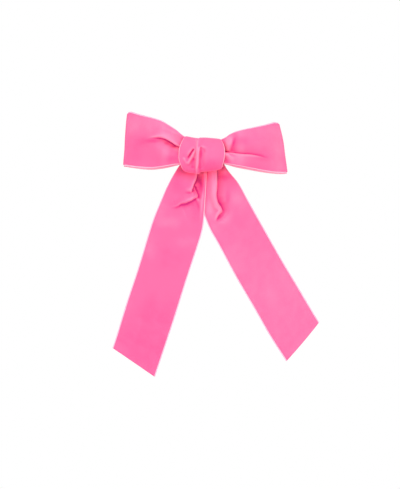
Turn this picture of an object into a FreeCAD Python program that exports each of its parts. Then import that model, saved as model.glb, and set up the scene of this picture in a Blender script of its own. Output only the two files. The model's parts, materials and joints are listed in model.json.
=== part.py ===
"""A velvet ribbon bow on a spring-steel hair barrette, in millimetres.

The bow stands upright as it is worn: +X is to the right as seen from the front, +Y points from the
bow towards the head, +Z is up, and the origin is the middle of the hair channel, between the
tension bar and the clamp arm.
"""

import FreeCAD
import Part
import math
import os

Vector = FreeCAD.Vector

# Ribbon
RIBBON_WIDTH = 38.0
RIBBON_THICK = 1.1
FIT_GAP = 0.02  # between faces that are riveted or pressed together

# Base plate: an arched strip that the bow is sewn to. Its back face is the datum of the clip.
PLATE_LONG = 80.0
PLATE_WIDE = 9.0
PLATE_THICK = 0.8
PLATE_RADIUS = 250.0  # of the back face
PLATE_BACK_Y = -8.2
PLATE_END_ROUND = 3.0
SEWING_HOLE_R = 1.1
SEWING_HOLES_X = (23.5, 28.5)  # each side of the middle

# Hinge bracket, its rivet and its pin, at the end on the left
BRACKET_THICK = 0.7
BRACKET_X = (-39.5, -31.5)
HINGE_X = -37.5
HINGE_Y = 5.1
PIN_R = 0.8
PIN_HEAD_R = 1.3
PIN_HEAD_THICK = 0.45
PIN_CLEARANCE = 0.06  # of the arm's barrel round the pin
BARREL_R = 1.7
EAR_ROUND_R = 2.1
LUG_X = -34.6
LUG_HOLE_R = 1.0

# Clamp arm
ARM_THICK = 0.8
ARM_FRONT_Y = 2.4
ARM_RADIUS = 300.0  # of the face towards the hair
ARM_END_X = 41.0
ARM_HALF_WIDE = 3.0
ARM_HINGE_HALF_WIDE = 3.5
ARM_HEAD_HALF_WIDE = 4.7
WINDOW_X = (32.4, 38.1)
WINDOW_HALF_HIGH = 3.1
LIP_RISE = 2.4

# Tension bar
BAR_THICK = 0.5
BAR_MID_Y = -2.6
BAR_RADIUS = 374.0
BAR_HALF_WIDE = 2.6
BAR_END_X = 29.5
LUG_HALF_LONG = 4.9
LUG_WIDE = 1.2

# Catch: a riveted plate with a tongue over the bar's tip, and two barbed prongs
CATCH_THICK = 0.6
CATCH_X = (30.6, 39.3)
CATCH_HALF_WIDE = 3.9
TONGUE_HALF_WIDE = 2.2
TONGUE_TIP_X = 26.8
PRONG_X = (33.2, 37.4)
PRONG_THICK = 0.6
PRONG_INNER_Z = 2.2
PRONG_ROOT_GAP = 0.1
BARB_OUT = 0.8
PRONG_TIP_Y = 10.8

# Rivets
RIVET_R = 1.1
RIVET_HEAD_R = 1.7
RIVET_HEAD_THICK = 0.45
HINGE_RIVET_X = -36.4
CATCH_RIVET_X = 35.3

# Bow: front outlines and depths
KNOT_HALF_WIDE = 17.6
WAIST_Y = (-22.3, -15.6)
WAIST_Z = (-9.0, 9.8)
WAIST_ROUND = 2.4
WAIST_HALF_LONG = 14.0
LEFT_LOOP_SLANT = 0.078  # how far the loop's outer fold leans in X for each mm of height
RIGHT_LOOP_SLANT = -0.147
BACK_OF_LOOPS = (  # seen from above, from the fold to the waist
    (42.0, -7.0),
    (24.8, -8.85),
    ((21.7, -10.5), (20.3, -13.6)),
    ((18.9, -16.1), (15.6, -17.1)),
)

# Tails: each hangs from a pleated top, and bends where the pleats end
LEFT_TAIL_LEAN = 17.0  # degrees from straight down
RIGHT_TAIL_LEAN = 30.5
LEFT_BEND = (-19.4, -12.65, -46.9)  # middle of the bend line
RIGHT_BEND = (18.8, -11.0, -43.0)
LEFT_TAIL_LONG = (113.9, 126.0)  # of the left and right edges, below the bend line
RIGHT_TAIL_LONG = (124.7, 111.5)
TAIL_CURL = 1.2
BEND_GAP = 0.75
TAIL_TOP_Z = 9.0

# Threads
THREAD_R = 0.3
THREAD_TURNS_X = (-1.5, -0.75, 0.0, 0.75, 1.5)
THREAD_CLEARANCE = 0.03
KNOT_STITCHES_Z = (-5.0, -2.5, 0.0, 2.5, 5.0)
KNOT_STITCH_LONG = 2.4
KNOT_BACK_Y = -14.3  # of the knot ribbon's flat back, inside the tails
TAIL_STITCHES_X = (-1.0, 1.4, 3.8, 6.2, 8.6, 11.0, 13.4)
TAIL_STITCH_LONG = 1.5
TAIL_STITCHES_Z = 7.0
TAIL_BACK_Y = -9.1  # of the right tail's top
SEWING_TURNS_Z = (-0.65, 0.0, 0.65)
SEWING_DEPTH = 2.75  # from the plate's back face to the middle of a stitch in front of the ribbon


def front(x, z):
    """A point of a front outline."""
    return Vector(x, 0, z)


def plan(x, y):
    """A point of an outline seen from above."""
    return Vector(x, y, 0)


def side(y, z):
    """A point of an outline seen from the side."""
    return Vector(0, y, z)


def outline(place, start, *steps):
    """A closed wire. Each step is an end point, or (point passed through, end point) for an arc."""
    edges, at = [], place(*start)
    for step in steps + (start,):
        if isinstance(step[0], tuple):
            end = place(*step[1])
            edges.append(Part.Arc(at, place(*step[0]), end).toShape())
        else:
            end = place(*step)
            if end.distanceToPoint(at) < 1e-6:
                continue
            edges.append(Part.LineSegment(at, end).toShape())
        at = end
    return Part.Wire(edges)


def prism(wires, low, high):
    """The outline's face, or the face between two outlines, carried from low to high."""
    face = Part.makeFace(wires, "Part::FaceMakerBullseye")
    face.translate(low)
    return face.extrude(high.sub(low))


def band(centre, thick, low, high):
    """A closed strip of that thickness, centred on a closed outline and carried from low to high."""
    outer = centre.makeOffset2D(thick / 2)
    inner = centre.makeOffset2D(-thick / 2)
    return prism([outer, inner], low, high)


def across(low, high):
    """The two ends of a prism along X."""
    return Vector(low, 0, 0), Vector(high, 0, 0)


def deep(low, high):
    """The two ends of a prism along Y."""
    return Vector(0, low, 0), Vector(0, high, 0)


def high(low, top):
    """The two ends of a prism along Z."""
    return Vector(0, 0, low), Vector(0, 0, top)


def one(shape):
    """The shape as a single clean solid."""
    clean = shape.removeSplitter()
    solids = clean.Solids
    if len(solids) != 1 or not solids[0].isValid():
        raise ValueError("expected one valid solid, found %d" % len(solids))
    return solids[0]


def arc_y(x, middle_y, radius):
    """Y at x on an arc whose middle is at middle_y; a positive radius has its centre towards the head."""
    return middle_y + math.copysign(abs(radius) - math.sqrt(radius**2 - x**2), radius)


def arched_strip(x0, x1, front_y, thick, radius, half_wide):
    """A strip bent round an upright axis. front_y is its front face at x = 0, and radius is of its middle."""
    faces = []
    for y, r in ((front_y, radius + thick / 2), (front_y + thick, radius - thick / 2)):
        middle = (x0 + x1) / 2
        faces.append([(x, arc_y(x, y, r)) for x in (x0, middle, x1)])
    (a, b, c), (d, e, f) = faces
    wire = outline(plan, a, (b, c), f, (e, d))
    return prism(wire, *high(-half_wide, half_wide))


def upright_rod(x, y, r, z0, z1):
    """A round rod along Z."""
    return Part.makeCylinder(r, z1 - z0, Vector(x, y, z0), Vector(0, 0, 1))


def plate_frame(x):
    """A point on the plate's back face, and the face's normal there, towards the head."""
    y = arc_y(x, PLATE_BACK_Y, PLATE_RADIUS)
    normal = Vector(-x / PLATE_RADIUS, math.sqrt(1 - (x / PLATE_RADIUS) ** 2), 0)
    return Vector(x, y, 0), normal


def through_plate(x, r, before, behind, z=0.0):
    """A round rod through the plate at x, from before mm in front of its back face to behind mm past it."""
    at, normal = plate_frame(x)
    start = at.sub(normal * before) + Vector(0, 0, z)
    return Part.makeCylinder(r, before + behind, start, normal)


def base_plate():
    """The arched strip with rounded ends, four sewing holes and two rivet holes."""
    half_long, half_wide, corner = PLATE_LONG / 2, PLATE_WIDE / 2, PLATE_END_ROUND
    strip = arched_strip(
        -half_long - 1,
        half_long + 1,
        PLATE_BACK_Y - PLATE_THICK,
        PLATE_THICK,
        PLATE_RADIUS + PLATE_THICK / 2,
        half_wide,
    )
    shape = Part.makeBox(PLATE_LONG, 20, PLATE_WIDE, Vector(-half_long, -15, -half_wide))
    ends = [e for e in shape.Edges if abs(e.Curve.Direction.y) > 0.9]
    plate = strip.common(shape.makeFillet(corner, ends))
    for x in SEWING_HOLES_X:
        for sign in (-1, 1):
            plate = plate.cut(through_plate(sign * x, SEWING_HOLE_R, 3, 3))
    for x in (HINGE_RIVET_X, CATCH_RIVET_X):
        plate = plate.cut(through_plate(x, RIVET_R + FIT_GAP, 3, 3))
    return one(plate)


def rivet(x, web_thick):
    """A rivet through the plate and a web behind it, with a low head at each end."""
    behind = FIT_GAP + web_thick
    shank = through_plate(x, RIVET_R, PLATE_THICK + 0.1, behind + 0.1)
    at, normal = plate_frame(x)
    heads = []
    for far, way in ((behind + FIT_GAP, 1), (-PLATE_THICK - FIT_GAP, -1)):
        seat = at + normal * far
        base = Part.makeCylinder(RIVET_HEAD_R, RIVET_HEAD_THICK, seat, normal * way)
        rim = [e for e in base.Edges if e.Length > 1 and _is_far(e, seat, RIVET_HEAD_THICK)]
        heads.append(base.makeFillet(RIVET_HEAD_THICK * 0.6, rim))
    return one(shank.fuse(heads))


def _is_far(edge, seat, thick):
    """Whether a round edge is the one at the free end of a head."""
    return abs(edge.CenterOfMass.distanceToPoint(seat) - thick) < 0.01


def hinge_bracket():
    """A web riveted to the plate, with two ears that hold the hinge pin and the tension bar's lugs."""
    x0, x1 = BRACKET_X
    web_radius = PLATE_RADIUS - FIT_GAP - BRACKET_THICK / 2
    web = arched_strip(x0, x1, PLATE_BACK_Y + FIT_GAP, BRACKET_THICK, web_radius, PLATE_WIDE / 2)
    foot_y = arc_y(x0, PLATE_BACK_Y, PLATE_RADIUS) + 0.15
    toe_y = arc_y(x1, PLATE_BACK_Y, PLATE_RADIUS) + 0.15
    lug_y = arc_y(LUG_X, BAR_MID_Y, -BAR_RADIUS)
    r = EAR_ROUND_R
    ear = outline(
        plan,
        (x0, foot_y),
        (x1, toe_y),
        (x1, lug_y + 0.5),
        (HINGE_X + r * math.cos(math.radians(25)), HINGE_Y + r * math.sin(math.radians(25))),
        ((HINGE_X, HINGE_Y + r), (HINGE_X - r, HINGE_Y)),
        (x0, HINGE_Y - 2.0),
    )
    half = PLATE_WIDE / 2
    ears = [
        prism(ear, *high(half - BRACKET_THICK, half)),
        prism(ear, *high(-half, BRACKET_THICK - half)),
    ]
    bracket = web.fuse(ears)
    bracket = bracket.cut(upright_rod(HINGE_X, HINGE_Y, PIN_R + FIT_GAP, -half - 1, half + 1))
    bracket = bracket.cut(upright_rod(LUG_X, lug_y, LUG_HOLE_R, -half - 1, half + 1))
    return one(bracket.cut(through_plate(HINGE_RIVET_X, RIVET_R + FIT_GAP, 1, 3)))


def hinge_pin():
    """A pin headed at both ends, outside the ears."""
    half = PLATE_WIDE / 2 + FIT_GAP
    pin = upright_rod(HINGE_X, HINGE_Y, PIN_R, -half - 0.1, half + 0.1)
    heads = [
        upright_rod(HINGE_X, HINGE_Y, PIN_HEAD_R, half, half + PIN_HEAD_THICK),
        upright_rod(HINGE_X, HINGE_Y, PIN_HEAD_R, -half - PIN_HEAD_THICK, -half),
    ]
    return one(pin.fuse(heads))


def clamp_arm():
    """The arched arm: a rolled barrel at the hinge, a stiffening bead, a window and a thumb lip."""
    wide, hinge_wide, head = ARM_HALF_WIDE, ARM_HINGE_HALF_WIDE, ARM_HEAD_HALF_WIDE
    middle_radius = ARM_RADIUS - ARM_THICK / 2
    start_x = HINGE_X + BARREL_R - 0.5
    strip = arched_strip(start_x, ARM_END_X, ARM_FRONT_Y, ARM_THICK, middle_radius, head)
    shape = outline(
        front,
        (start_x - 1, -hinge_wide),
        (-33.5, -hinge_wide),
        (-31.5, -wide),
        (28.0, -wide),
        ((29.6, -wide - 0.7), (31.0, -head)),
        (ARM_END_X - 1.5, -head),
        ((ARM_END_X + 0.4, 0.0), (ARM_END_X - 1.5, head)),
        (31.0, head),
        ((29.6, wide + 0.7), (28.0, wide)),
        (-31.5, wide),
        (-33.5, hinge_wide),
        (start_x - 1, hinge_wide),
    )
    strip = strip.common(prism(shape, *deep(-5, 20)))
    barrel = upright_rod(HINGE_X, HINGE_Y, BARREL_R, -hinge_wide, hinge_wide)
    bead = arched_strip(-26.0, 25.0, ARM_FRONT_Y + ARM_THICK - 0.1, 0.5, middle_radius - 0.6, 0.8)
    lip_y = arc_y(ARM_END_X, ARM_FRONT_Y, ARM_RADIUS)
    lip = prism(
        outline(
            plan,
            (ARM_END_X - 1.0, lip_y),
            ((ARM_END_X + 1.0, lip_y + 0.5), (ARM_END_X + 1.6, lip_y + LIP_RISE)),
            (ARM_END_X + 0.8, lip_y + LIP_RISE),
            ((ARM_END_X + 0.35, lip_y + 1.2), (ARM_END_X - 1.0, lip_y + ARM_THICK)),
        ),
        *high(-3.2, 3.2),
    )
    arm = strip.fuse([barrel, bead, lip])
    window = Part.makeBox(
        WINDOW_X[1] - WINDOW_X[0],
        20,
        2 * WINDOW_HALF_HIGH,
        Vector(WINDOW_X[0], -5, -WINDOW_HALF_HIGH),
    )
    arm = arm.cut(window)
    bore = upright_rod(HINGE_X, HINGE_Y, PIN_R + PIN_CLEARANCE, -10, 10)
    return one(arm.cut(bore))


def tension_bar():
    """A bowed leaf with a lug each side that pivots in the ears, and a rounded free tip."""
    blade = arched_strip(
        LUG_X - LUG_WIDE / 2,
        BAR_END_X,
        BAR_MID_Y - BAR_THICK / 2,
        BAR_THICK,
        -BAR_RADIUS,
        LUG_HALF_LONG,
    )
    wide, neck, lug_x0 = BAR_HALF_WIDE, 3.3, LUG_X - LUG_WIDE / 2
    lug_x1 = lug_x0 + LUG_WIDE
    shape = outline(
        front,
        (lug_x0 - 1, -LUG_HALF_LONG),
        (lug_x1, -LUG_HALF_LONG),
        (lug_x1, -neck),
        (-31.0, -neck),
        (-29.0, -wide),
        (BAR_END_X - wide, -wide),
        ((BAR_END_X, 0), (BAR_END_X - wide, wide)),
        (-29.0, wide),
        (-31.0, neck),
        (lug_x1, neck),
        (lug_x1, LUG_HALF_LONG),
        (lug_x0 - 1, LUG_HALF_LONG),
    )
    return one(blade.common(prism(shape, *deep(-10, 5))))


def catch_plate():
    """The riveted web of the catch, with a raised tongue that keeps the tension bar's tip."""
    x0, x1 = CATCH_X
    web_radius = PLATE_RADIUS - FIT_GAP - CATCH_THICK / 2
    web = arched_strip(x0, x1, PLATE_BACK_Y + FIT_GAP, CATCH_THICK, web_radius, CATCH_HALF_WIDE)
    web_y = arc_y(x0, PLATE_BACK_Y, PLATE_RADIUS)
    under = arc_y(BAR_END_X - 2.0, BAR_MID_Y, -BAR_RADIUS) + BAR_THICK / 2 + 0.08
    step = outline(
        plan,
        (x0 + 0.9, web_y + 0.2),
        (x0 + 0.9, under + CATCH_THICK - 0.5),
        (x0 + 0.4, under + CATCH_THICK),
        (TONGUE_TIP_X, under + CATCH_THICK + 0.25),
        (TONGUE_TIP_X, under + 0.25),
        (x0 - 0.2, under),
        (x0 + 0.3, under - 0.5),
        (x0 + 0.3, web_y + 0.2),
    )
    tongue = prism(step, *high(-TONGUE_HALF_WIDE, TONGUE_HALF_WIDE))
    plate = web.fuse(tongue)
    return one(plate.cut(through_plate(CATCH_RIVET_X, RIVET_R + FIT_GAP, 1, 3)))


def catch_prong(way):
    """A barbed prong above (way 1) or below (way -1) the middle, with a flared tip to pinch."""
    root_y = arc_y(PRONG_X[1], PLATE_BACK_Y, PLATE_RADIUS) + FIT_GAP + CATCH_THICK + PRONG_ROOT_GAP
    outer = PRONG_INNER_Z + PRONG_THICK
    arm_back = arc_y(PRONG_X[1], ARM_FRONT_Y, ARM_RADIUS) + ARM_THICK
    barb_y = arm_back + 0.12
    shape = outline(
        lambda y, z: side(y, way * z),
        (root_y, PRONG_INNER_Z),
        (root_y, outer),
        (barb_y, outer),
        (barb_y, outer + BARB_OUT),
        (barb_y + 0.35, outer + BARB_OUT),
        (barb_y + 1.9, outer),
        ((PRONG_TIP_Y - 1.6, outer + 0.25), (PRONG_TIP_Y, outer + 1.5)),
        (PRONG_TIP_Y - 0.45, outer + 1.5 + 0.35),
        (PRONG_TIP_Y + 0.1, outer + 1.55),
        (PRONG_TIP_Y + 0.3, outer + 1.1),
        ((PRONG_TIP_Y - 1.2, outer - 0.3), (barb_y + 1.6, PRONG_INNER_Z)),
    )
    return one(prism(shape, *across(*PRONG_X)))


def waist_outline(clear, x=0.0):
    """The waist's rounded section at x, in side view, grown by clear."""
    (y0, y1), (z0, z1), r = WAIST_Y, WAIST_Z, WAIST_ROUND + clear
    y0, y1, z0, z1 = y0 - clear, y1 + clear, z0 - clear, z1 + clear
    bow = r * (1 - math.sqrt(0.5))
    return outline(
        lambda y, z: Vector(x, y, z),
        (y0, z0 + r),
        (y0, z1 - r),
        ((y0 + bow, z1 - bow), (y0 + r, z1)),
        (y1 - r, z1),
        ((y1 - bow, z1 - bow), (y1, z1 - r)),
        (y1, z0 + r),
        ((y1 - bow, z0 + bow), (y1 - r, z0)),
        (y0 + r, z0),
        ((y0 + bow, z0 + bow), (y0, z0 + r)),
    )


def loop_ring(way, fold_x, slant, crest, shoulder):
    """One loop of the bow as a closed band, seen from above, carried up along its slanted fold."""
    def here(point):
        if isinstance(point[0], tuple):
            return tuple(here(p) for p in point)
        return (way * point[0], point[1])

    fold = way * fold_x
    centre = outline(
        plan,
        (way * 13.0, -20.3),
        ((way * crest[0], crest[1]), (way * shoulder[0], shoulder[1])),
        (fold - way * 2.1, -11.6),
        ((fold, -9.1), (fold - way * 1.9, -6.9)),
        *(here(p) for p in BACK_OF_LOOPS),
        (way * 13.0, -17.2),
    )
    low, top = -30.0, 50.0
    return band(centre, RIBBON_THICK, Vector(slant * low, 0, low), Vector(slant * top, 0, top))


def loop_ribbon():
    """One ribbon that makes both loops and the gathered waist between them."""
    left = loop_ring(-1, 60.1, LEFT_LOOP_SLANT, (27.0, -23.4), (41.0, -20.0))
    right = loop_ring(1, 62.2, RIGHT_LOOP_SLANT, (27.0, -23.1), (42.0, -19.5))
    waist = prism(waist_outline(0.0), *across(-WAIST_HALF_LONG, WAIST_HALF_LONG))
    edge, far, low, top = KNOT_HALF_WIDE + 0.3, 75.0, WAIST_Z[0] + 1.0, WAIST_Z[1] - 1.0
    silhouette = outline(
        front,
        (edge, top),
        (edge, 14.6),
        ((32.0, 20.9), (59.0, 25.0)),
        (far, 25.0),
        (far, -14.3),
        (62.0, -14.3),
        ((41.0, -11.9), (edge, -8.6)),
        (edge, low),
        (-edge, low),
        (-edge, -8.6),
        ((-42.0, -10.9), (-61.0, -8.8)),
        (-far, -8.8),
        (-far, 32.5),
        (-58.0, 32.5),
        ((-35.5, 27.2), (-edge, 17.2)),
        (-edge, top),
    )
    rings = left.fuse(right).common(prism(silhouette, *deep(-40, 5)))
    return one(rings.fuse(waist))


def knot_ribbon():
    """The ribbon round the waist: a closed band in side view, trimmed to the knot's front outline."""
    centre = outline(
        side,
        (-13.75, -7.0),
        (-13.75, 7.0),
        ((-16.4, 12.4), (-20.0, 13.6)),
        ((-26.6, -0.3), (-20.0, -14.3)),
        ((-16.2, -12.9), (-13.75, -7.0)),
    )
    ring = band(centre, RIBBON_THICK, *across(-19, 19))
    shape = outline(
        front,
        (-13.0, 17.0),
        (13.4, 17.0),
        ((17.2, 1.5), (13.8, -17.0)),
        (-12.2, -17.0),
        ((-KNOT_HALF_WIDE, 1.5), (-13.0, 17.0)),
    )
    return one(ring.common(prism(shape, *deep(-40, 0))))


def tail_axes(lean, way):
    """Unit vectors down a tail and across it to the right, in X and Z, for a tail that leans to way."""
    a = math.radians(lean)
    down = (way * math.sin(a), -math.cos(a))
    return down, (-down[1], down[0])


def tail_point(bend, axes, along, over):
    """A point of a tail, along mm below its bend line and over mm to the right of its middle."""
    down, right = axes
    return (
        bend[0] + along * down[0] + over * right[0],
        bend[2] + along * down[1] + over * right[1],
    )


def tail_sheet(bend, lean, way, edges_long):
    """The hanging part of a tail: a thin sheet with a round top edge, cut off on a slant."""
    left_long, right_long = edges_long
    half = RIBBON_WIDTH / 2
    axes = tail_axes(lean, way)
    down = Vector(axes[0][0], 0, axes[0][1])
    right = Vector(axes[1][0], 0, axes[1][1])
    start = Vector(*bend)
    length = max(left_long, right_long)
    half_thick = RIBBON_THICK / 2

    def at(along, depth):
        return start + down * along + Vector(0, depth, 0)

    def face(depth):
        return at(0, depth), at(length / 2, TAIL_CURL + depth), at(length, depth)

    a, b, c = face(-half_thick)
    d, e, f = face(half_thick)
    wire = Part.Wire(
        [
            Part.Arc(a, b, c).toShape(),
            Part.LineSegment(c, f).toShape(),
            Part.Arc(f, e, d).toShape(),
            Part.Arc(d, at(-half_thick, 0), a).toShape(),
        ]
    )
    sheet = prism(wire, right * -half, right * half)
    cut = [tail_point(bend, axes, *p) for p in ((-2, -half), (left_long, -half))]
    cut += [tail_point(bend, axes, *p) for p in ((right_long, half), (-2, half))]
    return one(sheet.common(prism(outline(front, *cut), *deep(-40, 20))))


def tail_top(shape, profile, thick_part=None):
    """The pleated top of a tail: a front outline with the depth that a side profile gives it."""
    body = prism(outline(front, *shape), *deep(-40, 5)).common(
        prism(outline(side, *profile), *across(-45, 45))
    )
    if thick_part:
        swell = prism(outline(side, *thick_part[1]), *across(thick_part[0], 45))
        body = body.fuse(prism(outline(front, *shape), *deep(-40, 5)).common(swell))
    return one(body)


def left_tail_top():
    """The left tail from behind the knot to its bend."""
    axes = tail_axes(LEFT_TAIL_LEAN, -1)
    half = RIBBON_WIDTH / 2
    low_left = tail_point(LEFT_BEND, axes, -BEND_GAP, -half)
    low_right = tail_point(LEFT_BEND, axes, -BEND_GAP, half)
    shape = (
        (-15.5, TAIL_TOP_Z),
        (-15.5, -10.5),
        (-20.8, -12.0),
        ((-30.5, -28.0), low_left),
        low_right,
        ((1.4, -34.0), (3.2, -12.0)),
        (3.2, TAIL_TOP_Z),
    )
    profile = (
        (-11.1, TAIL_TOP_Z + 1),
        (-13.0, TAIL_TOP_Z + 1),
        (-13.0, -14.8),
        (-16.0, -22.0),
        (-15.6, -34.0),
        (-13.2, -46.0),
        (-13.2, -60.0),
        (-12.1, -60.0),
        (-11.4, -34.0),
    )
    return tail_top(shape, profile)


def right_tail_top():
    """The right tail from behind the knot to its bend, with its inner edge under the left tail."""
    axes = tail_axes(RIGHT_TAIL_LEAN, 1)
    half = RIBBON_WIDTH / 2
    low_left = tail_point(RIGHT_BEND, axes, -BEND_GAP, -half)
    low_right = tail_point(RIGHT_BEND, axes, -BEND_GAP, half)
    shape = (
        (-2.0, TAIL_TOP_Z),
        (-2.0, -30.0),
        low_left,
        low_right,
        ((30.5, -28.0), (21.0, -12.0)),
        (15.5, -10.5),
        (15.5, TAIL_TOP_Z),
    )
    profile = (
        (-9.1, TAIL_TOP_Z + 1),
        (-10.9, TAIL_TOP_Z + 1),
        (-10.9, -30.0),
        (-11.55, -46.0),
        (-11.55, -60.0),
        (-10.45, -60.0),
        (-9.6, -30.0),
    )
    swell = (
        (-10.0, TAIL_TOP_Z - 10),
        (-13.0, TAIL_TOP_Z - 10),
        (-13.0, -14.8),
        (-16.0, -22.0),
        (-15.6, -30.0),
        (-11.55, -46.0),
        (-10.5, -38.0),
    )
    return tail_top(shape, profile, (4.2, swell))


def left_tail():
    """The hanging part of the left tail."""
    return tail_sheet(LEFT_BEND, LEFT_TAIL_LEAN, -1, LEFT_TAIL_LONG)


def right_tail():
    """The hanging part of the right tail."""
    return tail_sheet(RIGHT_BEND, RIGHT_TAIL_LEAN, 1, RIGHT_TAIL_LONG)


def thread_ring(path):
    """A thread of round section along a closed path."""
    first = path.Edges[0]
    start = first.valueAt(first.FirstParameter)
    circle = Part.Wire(Part.makeCircle(THREAD_R, start, first.tangentAt(first.FirstParameter)))
    return path.makePipeShell([circle], True, False)


def gathering_thread():
    """Five closed turns of thread round the waist."""
    clear = THREAD_R + THREAD_CLEARANCE
    turns = [thread_ring(waist_outline(clear, x)) for x in THREAD_TURNS_X]
    return Part.makeCompound(turns)


def flat_stitch(centre, along, face_out, length):
    """A short bar stitch: a thread lying on a face, with round ends."""
    out = Vector(face_out)
    start = centre.sub(along * (length / 2)) + out * THREAD_R
    rod = Part.makeCylinder(THREAD_R, length, start, along)
    balls = [Part.makeSphere(THREAD_R, start), Part.makeSphere(THREAD_R, start + along * length)]
    return one(rod.fuse(balls))


def knot_stitches():
    """The row that closes the knot ribbon on its flat back, between the knot and the tails."""
    y = KNOT_BACK_Y - 2 * THREAD_R - THREAD_CLEARANCE
    stitches = [
        flat_stitch(Vector(0, y, z), Vector(1, 0, 0), (0, 1, 0), KNOT_STITCH_LONG) for z in KNOT_STITCHES_Z
    ]
    return Part.makeCompound(stitches)


def tail_stitches():
    """The row that holds both tail tops together, above the plate."""
    y = TAIL_BACK_Y + THREAD_CLEARANCE
    stitches = [
        flat_stitch(Vector(x, y, TAIL_STITCHES_Z), Vector(1, 0, 0), (0, 1, 0), TAIL_STITCH_LONG)
        for x in TAIL_STITCHES_X
    ]
    return Part.makeCompound(stitches)


def plate_sewing(way):
    """Three closed turns of thread through two of the plate's holes and the ribbon in front of it."""
    xa, xb = (way * x for x in SEWING_HOLES_X)
    turns = []
    for z in SEWING_TURNS_Z:
        points = []
        for x in (xa, xb):
            at, normal = plate_frame(x)
            rear = at + normal * (THREAD_R + FIT_GAP + THREAD_CLEARANCE)
            fore = at.sub(normal * SEWING_DEPTH)
            points.append((fore, rear))
        (fore_a, rear_a), (fore_b, rear_b) = points
        path = Part.makePolygon([fore_a, rear_a, rear_b, fore_b, fore_a])
        path.translate(Vector(0, 0, z))
        turns.append(Part.makeSolid(_round_pipe(path)))
    return Part.makeCompound(turns)


def _round_pipe(path):
    """The shell of a thread that follows a closed four-cornered path, mitred at its corners."""
    first = path.Edges[0]
    middle = first.valueAt((first.FirstParameter + first.LastParameter) / 2)
    start = first.Vertexes[0].Point
    direction = first.Vertexes[1].Point.sub(start).normalize()
    circle = Part.Wire(Part.makeCircle(THREAD_R, middle, direction))
    corners = [v.Point for v in path.OrderedVertexes]
    route = Part.makePolygon([middle, corners[1], corners[2], corners[3], corners[0], middle])
    return route.makePipeShell([circle], False, False, 1)


NODES = {
    "base_plate": base_plate,
    "hinge_bracket": hinge_bracket,
    "hinge_rivet": lambda: rivet(HINGE_RIVET_X, BRACKET_THICK),
    "hinge_pin": hinge_pin,
    "clamp_arm": clamp_arm,
    "tension_bar": tension_bar,
    "catch_plate": catch_plate,
    "catch_rivet": lambda: rivet(CATCH_RIVET_X, CATCH_THICK),
    "catch_prong_upper": lambda: catch_prong(1),
    "catch_prong_lower": lambda: catch_prong(-1),
    "loop_ribbon": loop_ribbon,
    "knot_ribbon": knot_ribbon,
    "left_tail_top": left_tail_top,
    "left_tail": left_tail,
    "right_tail_top": right_tail_top,
    "right_tail": right_tail,
    "gathering_thread": gathering_thread,
    "knot_stitches": knot_stitches,
    "tail_stitches": tail_stitches,
    "plate_sewing_left": lambda: plate_sewing(-1),
    "plate_sewing_right": lambda: plate_sewing(1),
}

os.makedirs("parts", exist_ok=True)
for name, make in NODES.items():
    make().exportStep("parts/%s.step" % name)
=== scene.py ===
"""The looks of a hair barrette: a velvet ribbon bow sewn to a sprung metal clip.

Every ribbon is a surface worked out on a grid. Its rows run along the ribbon and its columns across
it, and the pile side is the outer one. Outlines and folds are given in millimetres as seen from the
front, (x, z), and a fold moves the cloth towards the viewer, which is -Y.
"""

import json
import math

import bpy
import numpy as np
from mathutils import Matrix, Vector


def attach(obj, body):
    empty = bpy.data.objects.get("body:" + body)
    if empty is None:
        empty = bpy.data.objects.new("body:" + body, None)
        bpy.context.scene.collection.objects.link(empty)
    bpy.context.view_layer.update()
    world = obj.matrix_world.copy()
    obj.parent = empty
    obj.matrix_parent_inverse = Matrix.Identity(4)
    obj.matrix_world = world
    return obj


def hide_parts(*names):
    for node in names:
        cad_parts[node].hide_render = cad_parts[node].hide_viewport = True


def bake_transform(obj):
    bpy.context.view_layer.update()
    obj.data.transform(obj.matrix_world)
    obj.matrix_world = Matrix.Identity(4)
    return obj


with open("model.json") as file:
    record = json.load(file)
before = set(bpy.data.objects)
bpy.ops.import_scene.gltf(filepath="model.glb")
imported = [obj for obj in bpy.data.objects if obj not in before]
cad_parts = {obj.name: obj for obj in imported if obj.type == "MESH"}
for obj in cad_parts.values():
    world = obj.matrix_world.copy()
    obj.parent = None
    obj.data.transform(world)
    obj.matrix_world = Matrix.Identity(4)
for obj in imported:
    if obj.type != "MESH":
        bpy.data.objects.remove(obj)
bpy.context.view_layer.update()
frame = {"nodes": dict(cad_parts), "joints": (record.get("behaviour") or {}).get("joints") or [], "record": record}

bl_info = {
    "name": "Velvet bow barrette",
    "version": (1, 0, 0),
    "blender": (4, 5, 0),
    "location": "3D View > Sidebar > Bow",
    "description": "Builds the ribbons, finishes and stage of a velvet bow barrette",
    "category": "Object",
}

MM = 0.001
JOINTS = {joint["name"]: joint for joint in frame["joints"]}
SHORTEST_FADE = 1e-3  # of a line's length
BELLY = 3.2  # mm that the loops' front stands out at half height
KNOT_HALF_HEIGHT = 13.5
KNOT_BACK_SHARE = 0.72  # width of a turn behind, as a share of its width in front
KNOT_FULLNESS = 0.86  # below 1, the oval seen from the side is squarer
FLOOR_SIDES = 96
FLOOR_RINGS = (0.001, 0.6, 1.2, 1.7)
# the velvet paints hollows found at these two sizes as shade, and ridges as a highlight
BROAD_ROUNDS, FINE_ROUNDS = 36, 6  # of smoothing, to tell hollows of two sizes


# ---------------------------------------------------------------- settings


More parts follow.
